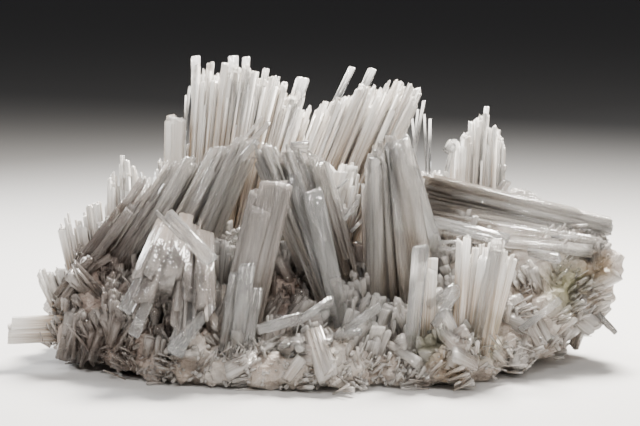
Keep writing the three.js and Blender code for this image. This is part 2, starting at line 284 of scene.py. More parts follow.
def modelBlade(model, order, endScale):  # a slab with lengthwise grooves, its end drawn in by endScale
    dropSelection()
    bpy.ops.mesh.primitive_cube_add(size=1, location=(0, 0, 0.5))
    blade = bpy.context.object
    bpy.ops.object.transform_apply(location=True, rotation=False, scale=False)
    bpy.ops.object.mode_set(mode="EDIT")
    bpy.ops.mesh.select_mode(type="EDGE")
    bpy.ops.mesh.select_all(action="DESELECT")
    bpy.ops.object.mode_set(mode="OBJECT")
    for edge in blade.data.edges:
        first, second = (blade.data.vertices[n].co for n in edge.vertices)
        edge.select = abs(first.x - second.x) > 0.5
    bpy.ops.object.mode_set(mode="EDIT")
    bpy.ops.mesh.subdivide(number_cuts=model["columns"])
    for n, groove in enumerate(np.roll(model["grooves"], order)):
        across = (n + 1) / (model["columns"] + 1) - 0.5
        pickPoints(lambda co: abs(co.x - across) < 0.01)
        bpy.ops.transform.resize(value=(1, groove, 1), center_override=(0, 0, 0))
    pickPoints(lambda co: abs(co.x) > 0.45)
    bpy.ops.transform.resize(value=(1, model["edges"], 1), center_override=(0, 0, 0))
    pickPoints(lambda co: co.z > 0.9)
    bpy.ops.mesh.extrude_region_move(TRANSFORM_OT_translate={"value": (0, 0, 1)})
    bpy.ops.transform.resize(value=(endScale[0], endScale[1], 1), center_override=(0, 0, 0))
    bpy.ops.mesh.select_all(action="SELECT")
    bpy.ops.mesh.normals_make_consistent(inside=False)
    bpy.ops.object.mode_set(mode="OBJECT")
    return shapeArrays(blade)


def modelPrism(sides, end):  # a slender prism, its end drawn in
    dropSelection()
    bpy.ops.mesh.primitive_cylinder_add(vertices=sides, radius=0.5, depth=1, location=(0, 0, 0.5))
    prism = bpy.context.object
    bpy.ops.object.transform_apply(location=True, rotation=False, scale=False)
    bpy.ops.object.mode_set(mode="EDIT")
    pickPoints(lambda co: co.z > 0.9)
    bpy.ops.mesh.extrude_region_move(TRANSFORM_OT_translate={"value": (0, 0, 1)})
    bpy.ops.transform.resize(value=(end, end, 1), center_override=(0, 0, 0))
    bpy.ops.mesh.select_all(action="SELECT")
    bpy.ops.mesh.normals_make_consistent(inside=False)
    bpy.ops.object.mode_set(mode="OBJECT")
    return shapeArrays(prism)


crystalShapes = {
    "cut": [modelBlade(bladeModel, order, (0.97, 0.94)) for order in (0, 2, 4)],
    "roof": [modelBlade(bladeModel, order, (0.85, 0.1)) for order in (1, 5)],
    "prism": [modelBlade(bladeModel, order, (0.8, 0.6)) for order in (0, 3)],
    "fibre": [modelPrism(4, 0.8), modelPrism(4, 0.35)],
    "stub": [modelPrism(4, 0.5), modelPrism(5, 0.4), modelPrism(6, 0.6)],
}
print("crystal shapes modelled")


crystalHabit = {"footWidth": 0.82, "highestEnd": 0.4, "mapShift": 40}  # two shares, and millimetres


class Cluster:  # crystals gathered as arrays, joined in one mesh at the end
    def __init__(self, seed):
        self.dice = np.random.default_rng(seed)
        self.points, self.corners, self.maps, self.tones, self.grown, self.kinds = [], [], [], [], [], []
        self.count = 0

    def grow(self, shape, foot, tip, width, thick, side, slant=0.0, end=0.5, kind=0):
        # one crystal from foot to tip in millimetres, its width along side, its end as high as end widths
        proto = crystalShapes[shape][self.dice.integers(len(crystalShapes[shape]))]
        way = tip - foot
        length = np.linalg.norm(way)
        along = way / length
        side = unit(side - along * side.dot(along))
        back = np.cross(along, side)
        local = proto["points"]
        height = min(end * width, crystalHabit["highestEnd"] * length)
        body = np.clip(local[:, 2], 0, 1)
        rise = body * (length - height) + np.clip(local[:, 2] - 1, 0, 1) * height
        rise = rise + np.where(local[:, 2] > 0.5, slant * local[:, 0] * width, 0)
        taper = crystalHabit["footWidth"] + (1 - crystalHabit["footWidth"]) * body
        across = (local[:, 0] * width * taper)[:, None] * side + (local[:, 1] * thick * taper)[:, None] * back
        self.points.append(foot + across + rise[:, None] * along)
        self.corners.append(proto["corners"] + self.count)
        self.count += len(local)
        shift = self.dice.random(2) * crystalHabit["mapShift"]
        around = proto["turn"] * 2 * (width + thick) + shift[0]
        up = rise[proto["corners"]] + shift[1]
        self.maps.append(np.stack([around, up], axis=2).reshape(-1, 2))
        self.tones.append(np.full(len(local), self.dice.random()))
        self.grown.append(np.clip(rise / length, 0, 1))
        self.kinds.append(np.full(len(proto["corners"]), kind, dtype=np.int32))

    def piece(self, name, finishes, slot, nodes):
        points = (np.concatenate(self.points) + layoutShift) * mm
        corners = np.concatenate(self.corners).astype(np.int32)
        mesh = bpy.data.meshes.new(name)
        mesh.vertices.add(len(points))
        mesh.vertices.foreach_set("co", points.ravel())
        mesh.loops.add(corners.size)
        mesh.loops.foreach_set("vertex_index", corners.ravel())
        mesh.polygons.add(len(corners))
        mesh.polygons.foreach_set("loop_start", np.arange(0, corners.size, 3, dtype=np.int32))
        for title, values in {"tone": self.tones, "grown": self.grown}.items():
            layer = mesh.attributes.new(title, "FLOAT", "POINT")
            layer.data.foreach_set("value", np.concatenate(values).astype(np.float32))
        mesh.uv_layers.new(name="faceMap").data.foreach_set("uv", np.concatenate(self.maps).ravel())
        mesh.update(calc_edges=True)
        mesh.validate()
        for finish in finishes:
            mesh.materials.append(crystalFinishes[finish])
        mesh.polygons.foreach_set("material_index", np.concatenate(self.kinds))
        made = bpy.data.objects.new(name, mesh)
        bpy.context.collection.objects.link(made)
        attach(made, "root")
        if nodes:
            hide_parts(*nodes)
        print(name, len(corners), "triangles")
        return made


def unit(way):
    return way / np.linalg.norm(way)


sprayHabit = {  # how bundles and crystals vary within a spray, in radians or shares of a size
    "bundleTurn": 0.4, "ownTurn": 0.15, "bundleWidth": 0.5, "bundleLayer": 0.7,
    "ownLayer": 0.4, "ownDrift": 0.25,
    "endHeight": (0.05, 0.5), "bladeThick": (0.4, 0.7), "bladeSlant": 0.35,
    "fibreWidth": (0.35, 1.0), "fibreSlant": 0.4, "fibreFray": 2, "fibreCut": 0.7,
    "singleThick": 0.7, "singleSlant": 0.15, "singleEnd": 0.2,
}


def growSpray(plan):
    # bundles of parallel blades and fibres between the foot line and the tip line, then the single crystals
    cluster = Cluster(plan["seed"])
    dice = cluster.dice
    habit = sprayHabit
    footLeft, footRight = (np.array(point, dtype=float) for point in plan["foot"])
    tipLeft, tipRight = (np.array(point, dtype=float) for point in plan["tip"])
    growth = unit(tipLeft + tipRight - footLeft - footRight)
    across = unit(tipRight - tipLeft)
    inwards = unit(np.cross(across, growth))
    bundles = plan["bundles"]
    bundleShare = (np.arange(bundles) + dice.random(bundles)) / bundles
    bundleLayer = dice.random(bundles) - 0.5
    bundleShort = dice.random(bundles) * plan["ragged"]
    bundleDrift = dice.normal(0, 1, bundles) * plan["drift"]
    bundleTurn = dice.normal(0, habit["bundleTurn"], bundles)

    def one(shape, width, thick, fray, slant, cut):
        bundle = dice.integers(bundles)
        share = np.clip(bundleShare[bundle] + dice.normal(0, habit["bundleWidth"] / bundles), 0, 1)
        layer = bundleLayer[bundle] * habit["bundleLayer"] + (dice.random() - 0.5) * habit["ownLayer"]
        foot = footLeft + (footRight - footLeft) * share + inwards * layer * plan["deep"][0]
        tip = tipLeft + (tipRight - tipLeft) * share + inwards * layer * plan["deep"][1]
        tip = tip + growth * plan.get("arch", 0) * (1 - (2 * share - 1) ** 2)
        tip = tip + across * (bundleDrift[bundle] + dice.normal(0, plan["drift"] * habit["ownDrift"]))
        tip = tip + (foot - tip) * (bundleShort[bundle] * cut + fray * dice.random() ** 3)
        foot = foot + (tip - foot) * dice.random() * plan["start"]
        turn = bundleTurn[bundle] + dice.normal(0, habit["ownTurn"])
        side = across * math.cos(turn) + inwards * math.sin(turn)
        cluster.grow(shape, foot, tip, width, thick, side, slant, end=dice.uniform(*habit["endHeight"]))

    narrow, wide = plan["width"]
    for n in range(plan["blades"]):
        width = narrow * (wide / narrow) ** dice.random()
        thick = width * dice.uniform(*habit["bladeThick"])
        one(dice.choice(plan["shapes"]), width, thick, plan["fray"], dice.normal(0, habit["bladeSlant"]), 1.0)
    for n in range(plan["fibres"]):
        width = dice.uniform(*habit["fibreWidth"])
        fray = plan["fray"] * habit["fibreFray"]
        one("fibre", width, width, fray, dice.normal(0, habit["fibreSlant"]), habit["fibreCut"])
    for foot, tip, width in plan.get("singles", []):
        foot, tip = np.array(foot, float), np.array(tip, float)
        thick = width * habit["singleThick"]
        slant, end = habit["singleSlant"], habit["singleEnd"]
        cluster.grow("prism", foot, tip, width, thick, across, slant, end, kind=1)
    slot = "white_crystal" if plan["finish"] == "white" else "clear_crystal"
    return cluster.piece(plan["piece"], [plan["finish"], "glassy"], slot, [plan["node"]])


# The two white peaks at the back

backLeft = {
    "piece": "back_left_needles", "node": "back_left_spray", "finish": "white", "seed": 11,
    "foot": [[-31, 5, 16], [-15, 5, 17]], "tip": [[-28, 15, 67.5], [-0.8, 18, 58]], "arch": 3,
    "blades": 400, "fibres": 600, "bundles": 90, "deep": (9, 9), "width": (0.5, 1.8),
    "shapes": ["cut", "cut", "roof"], "ragged": 0.13, "fray": 0.14, "drift": 0.5, "start": 0.6,
    "singles": [
        ([-28, 11, 42], [-28, 14, 69], 2.2), ([-20, 10.5, 42], [-19.2, 14, 69], 2.4),
        ([-17.5, 10.5, 44], [-16.2, 14, 68.8], 1.8), ([-14.8, 12, 48], [-11.6, 15, 66], 1.6),
        ([-9, 12, 44], [-3, 16, 63.8], 3.2),
    ],
}
growSpray(backLeft)

backCentre = {
    "piece": "back_centre_needles", "node": "back_centre_spray", "finish": "white", "seed": 12,
    "foot": [[-14, 4, 18], [5, 5, 18]], "tip": [[0.5, 14, 56.5], [25, 12, 62]], "arch": 4,
    "blades": 360, "fibres": 520, "bundles": 80, "deep": (9, 9), "width": (0.5, 1.8),
    "shapes": ["cut", "cut", "roof"], "ragged": 0.13, "fray": 0.14, "drift": 0.5, "start": 0.6,
    "singles": [([-1, 11, 47], [8.6, 14, 66.4], 1.6), ([5, 11, 48], [13.3, 14, 66], 2.0)],
}
growSpray(backCentre)

# The right-hand white sprays

saddle = {
    "piece": "saddle_needles", "node": "saddle_spray", "finish": "white", "seed": 13,
    "foot": [[19, 5, 15], [31, 6, 15]], "tip": [[20.4, 8, 44.5], [30.6, 8, 42.5]],
    "blades": 90, "fibres": 140, "bundles": 20, "deep": (5, 5), "width": (0.5, 1.6),
    "shapes": ["cut", "roof"], "ragged": 0.12, "fray": 0.15, "drift": 0.4, "start": 0.5,
    "singles": [
        ([20.8, 7.5, 36], [25, 9, 59], 0.75), ([24.2, 7.5, 36], [22.2, 7, 55], 0.6),
        ([26.3, 7.5, 35], [26.3, 7, 55], 0.7), ([21.4, 8, 38], [23.6, 8, 57], 0.6),
        ([25.8, 7, 36], [25, 7, 56], 0.55), ([28, 7.5, 35], [32.2, 9, 50], 1.0),
    ],
}
growSpray(saddle)

rightTower = {
    "piece": "right_tower_needles", "node": "right_tower_spray", "finish": "white", "seed": 14,
    "foot": [[31, 8, 14], [43, 8, 14]], "tip": [[33, 14, 49], [44, 14, 50]], "arch": 6,
    "blades": 170, "fibres": 240, "bundles": 28, "deep": (7, 7), "width": (0.5, 1.7),
    "shapes": ["cut", "cut", "roof"], "ragged": 0.14, "fray": 0.12, "drift": 0.3, "start": 0.5,
    "singles": [
        ([38, 11, 38], [39.9, 13.5, 57.2], 1.2), ([39, 9, 32], [43.4, 9.5, 44], 2.4),
        ([40, 6, 35], [47.5, 5.5, 38], 1.0), ([40, 8, 33], [44.4, 8, 40.5], 2.2),
    ],
}
growSpray(rightTower)

# The clear blades of the middle

centreLeft = {
    "piece": "centre_left_blades", "node": "centre_left_spray", "finish": "clear", "seed": 21,
    "foot": [[-51.7, -3, 17], [-31, -10, 12]], "tip": [[-31.7, 0, 46.6], [-14, -2.5, 52]],
    "blades": 130, "fibres": 150, "bundles": 40, "deep": (9, 8), "width": (0.7, 2.6),
    "shapes": ["cut", "cut", "roof"], "ragged": 0.14, "fray": 0.18, "drift": 0.6, "start": 0.4,
    "singles": [([-28, -4, 36], [-10.4, -3, 55], 1.3), ([-30, -5, 32], [-13, -4, 51], 1.6)],
}
growSpray(centreLeft)

centreRight = {
    "piece": "centre_right_blades", "node": "centre_right_spray", "finish": "clear", "seed": 22,
    "foot": [[2, -13, 10], [12, -10, 11]], "tip": [[-15.4, -2, 52], [2, -3, 48]],
    "blades": 115, "fibres": 140, "bundles": 36, "deep": (8, 8), "width": (0.7, 2.6),
    "shapes": ["cut", "cut", "roof"], "ragged": 0.12, "fray": 0.18, "drift": 0.5, "start": 0.4,
    "singles": [([6, -17, 11], [-0.8, -10.5, 40.5], 4.6), ([4, -15, 11], [-5, -8, 44], 3.2)],
}
growSpray(centreRight)

centreBlades = {
    "piece": "centre_blades", "node": "centre_blade_spray", "finish": "clear", "seed": 23,
    "foot": [[11.6, -16, 8], [27, -9, 14]], "tip": [[12.2, -8, 51], [18, -5, 53.5]],
    "blades": 46, "fibres": 60, "bundles": 18, "deep": (7, 7), "width": (1.0, 4.2),
    "shapes": ["cut", "roof"], "ragged": 0.12, "fray": 0.15, "drift": 0.4, "start": 0.25,
    "singles": [([29, -8, 20], [20, -6, 49], 3.6), ([30.5, -8, 18], [21, -6.5, 45], 3.0)],
}
growSpray(centreBlades)

innerSpray = {
    "piece": "inner_needles", "node": "inner_spray", "finish": "white", "seed": 24,
    "foot": [[-12, -3, 18], [5, -4, 16]], "tip": [[-4, 2, 43], [12, 2, 47.5]],
    "blades": 70, "fibres": 100, "bundles": 16, "deep": (6, 6), "width": (0.8, 3.0),
    "shapes": ["cut", "roof"], "ragged": 0.25, "fray": 0.2, "drift": 1.2, "start": 0.4,
}
growSpray(innerSpray)

frontBlocks = {
    "piece": "front_blocks", "node": "front_block_spray", "finish": "shadedClear", "seed": 25,
    "foot": [[-21, -25, 6], [-14, -25, 6]], "tip": [[-11.5, -15, 45], [-6, -14, 43.5]],
    "blades": 16, "fibres": 10, "bundles": 5, "deep": (4, 4), "width": (2.4, 5.0),
    "shapes": ["cut"], "ragged": 0.12, "fray": 0.12, "drift": 0.3, "start": 0.2,
    "singles": [
        ([-20, -27, 6], [-17, -24, 24.5], 3.0), ([-17.4, -28, 6], [-14.6, -24.5, 26.5], 3.4),
        ([-15, -27.5, 6], [-12.6, -23.5, 21], 2.6),
    ],
}
growSpray(frontBlocks)

frontLeft = {
    "piece": "front_left_blades", "node": "front_left_spray", "finish": "shadedClear", "seed": 26,
    "foot": [[-34, -11, 35], [-24, -12, 34]], "tip": [[-41, -30, 20.5], [-22, -36.5, 10]], "arch": 1.5,
    "blades": 26, "fibres": 8, "bundles": 8, "deep": (4, 6), "width": (2.0, 4.6),
    "shapes": ["cut", "cut", "roof"], "ragged": 0.32, "fray": 0.15, "drift": 1.3, "start": 0.3,
    "singles": [([-25, -20, 22], [-29.5, -35, 9], 4.0)],
}
growSpray(frontLeft)

frontLow = {
    "piece": "front_low_blades", "node": "front_low_spray", "finish": "clear", "seed": 27,
    "foot": [[-8, -14, 9], [4, -15, 9]], "tip": [[-14, -33, 8], [1.5, -34.5, 9.5]],
    "blades": 18, "fibres": 10, "bundles": 8, "deep": (5, 6), "width": (1.4, 3.6),
    "shapes": ["cut", "stub"], "ragged": 0.25, "fray": 0.2, "drift": 1.2, "start": 0.2,
    "singles": [([0, -18, 8], [9, -31, 13], 2.6)],
}
growSpray(frontLow)

brightBlade = {
    "piece": "bright_blades", "node": "bright_blade", "finish": "white", "seed": 28,
    "foot": [[21, -26, 5], [25, -25, 5]], "tip": [[22.2, -23.5, 30.5], [26.2, -20, 31.5]],
    "blades": 7, "fibres": 14, "bundles": 3, "deep": (3, 3), "width": (1.4, 3.2),
    "shapes": ["cut"], "ragged": 0.3, "fray": 0.1, "drift": 0.2, "start": 0.1,
    "singles": [([20.4, -28, 6.5], [22.6, -25, 30.5], 3.6)],
}
growSpray(brightBlade)

frontRight = {
    "piece": "front_right_blades", "node": "front_right_spray", "finish": "white", "seed": 29,
    "foot": [[30.3, -23, 4], [37, -23, 4]], "tip": [[32, -18, 33], [43, -20.5, 29.8]],
    "blades": 34, "fibres": 50, "bundles": 11, "deep": (4, 5), "width": (0.9, 3.0),
    "shapes": ["cut", "cut", "roof"], "ragged": 0.14, "fray": 0.15, "drift": 0.4, "start": 0.25,
    "singles": [([32, -25, 7], [27.4, -27, 17], 2.4), ([34, -25, 8], [39.6, -22, 31.5], 3.0)],
}
growSpray(frontRight)

# The long sheaf that runs to the right end

rightRidge = {
    "piece": "right_ridge_blades", "node": "right_ridge_spray", "finish": "clear", "seed": 31,
    "foot": [[18, 0.5, 27.5], [24, 3, 41]], "tip": [[65, -5, 23], [69, 3, 29.6]],
    "blades": 80, "fibres": 120, "bundles": 14, "deep": (8, 9), "width": (0.9, 3.4),
    "shapes": ["cut", "roof"], "ragged": 0.1, "fray": 0.2, "drift": 0.4, "start": 0.12,
    "singles": [([25, -3, 33], [43, -9, 29], 3.0), ([31, 1, 38.5], [68, 2, 30], 2.2)],
}
growSpray(rightRidge)

# The left slope

leftSpray = {
    "piece": "left_blades", "node": "left_spray", "finish": "shadedClear", "seed": 41,
    "foot": [[-60, -4, 12], [-46, -9, 7]], "tip": [[-38, 1, 41.5], [-27, -4, 35]],
    "blades": 100, "fibres": 150, "bundles": 30, "deep": (9, 9), "width": (0.7, 2.6),
    "shapes": ["cut", "roof"], "ragged": 0.2, "fray": 0.25, "drift": 0.6, "start": 0.4,
}
growSpray(leftSpray)

shoulder = {
    "piece": "shoulder_blades", "node": "shoulder_blade", "finish": "white", "seed": 42,
    "foot": [[-35, 6, 14], [-32, 6, 14]], "tip": [[-34, 10, 56], [-31, 10, 56.5]],
    "blades": 12, "fibres": 20, "bundles": 4, "deep": (3, 3), "width": (1.6, 4.6),
    "shapes": ["cut"], "ragged": 0.1, "fray": 0.15, "drift": 0.4, "start": 0.2,
    "singles": [([-31.5, 9, 40], [-29.3, 12, 62], 0.7), ([-31, 9, 40], [-30.2, 12, 60], 0.5)],
}
growSpray(shoulder)

leftTower = {
    "piece": "left_tower_needles", "node": "left_tower_spray", "finish": "white", "seed": 43,
    "foot": [[-48, 4, 10], [-39, 4, 10]], "tip": [[-48, 8, 43], [-41, 8, 42]], "arch": 4,
    "blades": 50, "fibres": 130, "bundles": 10, "deep": (4, 4), "width": (0.6, 2.0),
    "shapes": ["cut", "roof"], "ragged": 0.2, "fray": 0.15, "drift": 0.3, "start": 0.4,
}
growSpray(leftTower)

leftEdge = {
    "piece": "left_edge_needles", "node": "left_edge_spray", "finish": "white", "seed": 44,
    "foot": [[-54, 2, 8], [-47, 2, 8]], "tip": [[-58.5, 2, 34], [-50, 4, 37]],
    "blades": 26, "fibres": 50, "bundles": 7, "deep": (3, 3), "width": (0.6, 2.0),
    "shapes": ["cut", "roof"], "ragged": 0.2, "fray": 0.15, "drift": 0.4, "start": 0.4,
}
growSpray(leftEdge)

farLeft = {
    "piece": "far_left_needles", "node": "far_left_spray", "finish": "white", "seed": 45,
    "foot": [[-58, -3, 7], [-52, -3, 7]], "tip": [[-65, -4, 22.5], [-56.5, -2, 23.5]],
    "blades": 20, "fibres": 30, "bundles": 6, "deep": (3, 3), "width": (0.6, 2.4),
    "shapes": ["cut", "stub"], "ragged": 0.2, "fray": 0.2, "drift": 0.4, "start": 0.3,
}
growSpray(farLeft)

farLeftBlade = {
    "piece": "far_left_blades", "node": "far_left_blade", "finish": "white", "seed": 46,
    "foot": [[-53, -8, 6.6], [-53, -8, 11]], "tip": [[-69.3, -10, 6.6], [-68.4, -10, 10.6]],
    "blades": 6, "fibres": 6, "bundles": 2, "deep": (3, 3), "width": (3.0, 4.6),
    "shapes": ["cut"], "ragged": 0.03, "fray": 0.04, "drift": 0.1, "start": 0.1,
}
growSpray(farLeftBlade)

lowRight = {
    "piece": "low_right_blades", "node": "low_right_blade", "finish": "clear", "seed": 47,
    "foot": [[57, -5, 20], [57, -4, 19]], "tip": [[68.2, -8.4, 7.6], [67.6, -7, 7.4]],
    "blades": 3, "fibres": 2, "bundles": 1, "deep": (1, 1), "width": (1.6, 2.6),
    "shapes": ["cut"], "ragged": 0.05, "fray": 0.1, "drift": 0.2, "start": 0.1,
}
growSpray(lowRight)

# The back, which nothing shows: sprays like those of the front

rearLeft = {
    "piece": "rear_left_needles", "node": "rear_left_spray", "finish": "clear", "seed": 51,
    "foot": [[-19, 11, 13], [-40, 9, 9]], "tip": [[-21, 32, 47], [-46, 29, 37]], "arch": 3,
    "blades": 110, "fibres": 150, "bundles": 20, "deep": (7, 8), "width": (0.9, 3.2),
    "shapes": ["cut", "cut", "roof"], "ragged": 0.16, "fray": 0.18, "drift": 0.6, "start": 0.4,
}
growSpray(rearLeft)

rearCentre = {
    "piece": "rear_centre_blades", "node": "rear_centre_spray", "finish": "white", "seed": 52,
    "foot": [[13, 12, 13], [-13, 12, 13]], "tip": [[17, 34, 43], [-15, 35, 48]], "arch": 3,
    "blades": 120, "fibres": 150, "bundles": 22, "deep": (7, 8), "width": (0.9, 3.6),
    "shapes": ["cut", "cut", "roof"], "ragged": 0.16, "fray": 0.18, "drift": 0.6, "start": 0.4,
}
growSpray(rearCentre)

rearRight = {
    "piece": "rear_right_needles", "node": "rear_right_spray", "finish": "clear", "seed": 53,
    "foot": [[46, 9, 12], [20, 11, 12]], "tip": [[55, 29, 34], [23, 33, 41]], "arch": 2,
    "blades": 110, "fibres": 150, "bundles": 20, "deep": (7, 8), "width": (0.9, 3.2),
    "shapes": ["cut", "cut", "roof"], "ragged": 0.16, "fray": 0.18, "drift": 0.6, "start": 0.4,
}
growSpray(rearRight)

rearLow = {
    "piece": "rear_low_blades", "node": "rear_low_spray", "finish": "clear", "seed": 54,
    "foot": [[6, 14, 8], [-18, 14, 8]], "tip": [[7, 36.5, 13], [-24, 35.5, 15]],
    "blades": 70, "fibres": 60, "bundles": 14, "deep": (6, 6), "width": (1.2, 3.8),
    "shapes": ["cut", "roof"], "ragged": 0.25, "fray": 0.2, "drift": 1.0, "start": 0.3,
}
growSpray(rearLow)

# Single crystals that lie across the sheaves of the front: foot, tip and width

crossing = {
    "piece": "crossing_crystals", "seed": 55, "slant": 0.15, "end": 0.2, "thick": 0.6, "twist": 0.3,
    "crystals": [
        ([-34.8, -17, 36.6], [-28.7, -20, 31.1], 1.2),
        ([-32.1, -18, 36.3], [-22.2, -24, 26.7], 3.2),
        ([-23.4, -30, 16.5], [-30.6, -34, 9.2], 2.6),
        ([-21.8, -29, 18.1], [-28.6, -33, 9.8], 2.0),
        ([-34.9, -22, 27.3], [-40.7, -29, 16.8], 3.2),
        ([-35.0, -26, 20.6], [-38.7, -31, 12.0], 2.6),
        ([-16.0, -20, 22.1], [-18.3, -27, 11.4], 0.6),
        ([-11.2, -13, 28.5], [-11.3, -17, 18.4], 0.6),
        ([27.4, -15, 29.7], [31.6, -15, 29.7], 0.8),
        ([27.1, -16, 28.3], [31.1, -16, 28.3], 0.8),
        ([25.4, -27, 13.3], [31.1, -22, 20.9], 2.2),
        ([24.3, -24, 17.1], [30.6, -20, 20.5], 2.2),
        ([47.2, -13, 27.1], [53.3, -19, 26.6], 2.4),
        ([52.3, -11, 30.2], [58.1, -11, 30.2], 0.8),
        ([5.9, -8, 33.1], [9.5, -6, 37.3], 1.2),
        ([7.9, -9, 31.0], [10.4, -8, 33.5], 0.9),
        ([3.7, -5, 39.2], [7.3, -3, 42.2], 0.7),
        ([-5.7, -4, 49.5], [-1.5, -4, 49.5], 2.8),
        ([30.1, 8, 46.9], [31.7, 8, 49.4], 2.4),
        ([-20.3, -5, 46.7], [-12.0, -3, 56.0], 0.7),
        ([6.3, -29, 12.9], [14.0, -22, 16.7], 2.0),
        ([-3.3, -30, 15.2], [3.6, -24, 18.4], 2.4),
        ([-12.2, -31, 13.3], [-3.3, -27, 15.1], 2.6),
        ([44.7, -20, 11.0], [53.9, -16, 16.9], 1.6),
    ],
}


def growCrossing(plan):
    cluster = Cluster(plan["seed"])
    for foot, tip, width in plan["crystals"]:
        foot, tip = np.array(foot, float), np.array(tip, float)
        facing = cluster.dice.normal(0, plan["twist"], 3) + np.array([0, 1, 0])  # broad faces to the front
        side = np.cross(tip - foot, facing)
        cluster.grow("prism", foot, tip, width, width * plan["thick"], side, plan["slant"], plan["end"])
    return cluster.piece(plan["piece"], ["glassy"], "clear_crystal", [])


growCrossing(crossing)
print("sprays grown")


# The crust, roughened all over from its solid, with a druse of small crystals

crustPlan = {"voxel": 0.95, "lumps": (9.0, 4.0), "pits": (4.5, 3.4), "restHeight": 0.6}


def roughenCrust(plan):
    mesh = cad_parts["crust"].data.copy()
    crust = bpy.data.objects.new("crust_rock", mesh)
    bpy.context.collection.objects.link(crust)
    useOnly(crust)
    bpy.ops.object.mode_set(mode="EDIT")
    bpy.ops.mesh.select_all(action="SELECT")
    bpy.ops.mesh.remove_doubles(threshold=1e-6)
    bpy.ops.object.mode_set(mode="OBJECT")
    remesh = crust.modifiers.new("remesh", "REMESH")
    remesh.mode = "VOXEL"
    remesh.voxel_size = plan["voxel"] * mm
    bpy.ops.object.modifier_apply(modifier="remesh")
    resting = [point.index for point in crust.data.vertices if point.co.z < plan["restHeight"] * mm]
    for kind, name in (("CLOUDS", "lumps"), ("VORONOI", "pits")):
        texture = bpy.data.textures.new(name, kind)
        texture.noise_scale = plan[name][0] * mm
        displace = crust.modifiers.new(name, "DISPLACE")
        displace.texture = texture
        displace.strength = plan[name][1] * mm
        displace.mid_level = 0.5
        bpy.ops.object.modifier_apply(modifier=name)
    for n in resting:
        crust.data.vertices[n].co.z = 0  # the face it rests on stays flat
    for point in crust.data.vertices:
        point.co.z = max(point.co.z, 0)
    crust.data.materials.clear()
    crust.data.materials.append(crustRock)
    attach(crust, "root")
    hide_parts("crust")
    print("crust_rock", len(crust.data.polygons), "faces")
    return crust


crustRockPiece = roughenCrust(crustPlan)

druse = {  # lengths and widths in millimetres, with how far crystals lean and how deep they sit
    "underLimit": -0.5, "floorGap": 0.1, "ends": (-63, 67.5), "rimSlope": 0.7, "rimHeight": 9,
    "insideDepth": 25, "insideFrom": -56, "insideTo": 36, "insideAbove": 5,
    "sunk": 0.45, "clearOfFloor": 0.7, "thick": (0.45, 1.0), "slant": 0.2, "end": 0.3,
    "tuftSize": (1.2, 4.0), "tuftCrystals": (9, 20), "tuftTall": (0.6, 1.0), "tuftSpread": 0.12,
    "outwards": 0.3, "sideways": 0.7, "loose": 0.15, "fullRise": 8, "rightEnd": 46, "rightLean": 1.2,
    "length": (2.0, 6.5), "width": (0.3, 1.5), "lift": 0.9, "tallWidth": (0.8, 3.2), "tallLift": 1.6,
    "plateLength": (6.0, 13.0), "plateWidth": (2.4, 5.5), "plateSunk": 0.5, "plateTilt": 0.25,
    "needleWidth": (0.25, 0.5), "needleLoose": 0.8, "needleLift": 0.5,
    "fringeLength": (1.2, 3.4), "fringeWidth": (0.4, 1.2), "fringeLoose": 0.35, "fringeDrop": -0.3,
}
frontDruse = {
    **druse, "piece": "front_druse", "seed": 61, "from": -40, "to": 1,
    "tufts": 295, "tallTufts": 110, "plates": 60, "needles": 90, "fringes": 500,
    "tallLength": (6.0, 15.0), "needleLength": (6.0, 15.0),
}
rearDruse = {
    **druse, "piece": "rear_druse", "seed": 62, "from": 1, "to": 40,
    "tufts": 240, "tallTufts": 60, "plates": 40, "needles": 40, "fringes": 400,
    "tallLength": (6.0, 13.0), "needleLength": (6.0, 14.0),
}


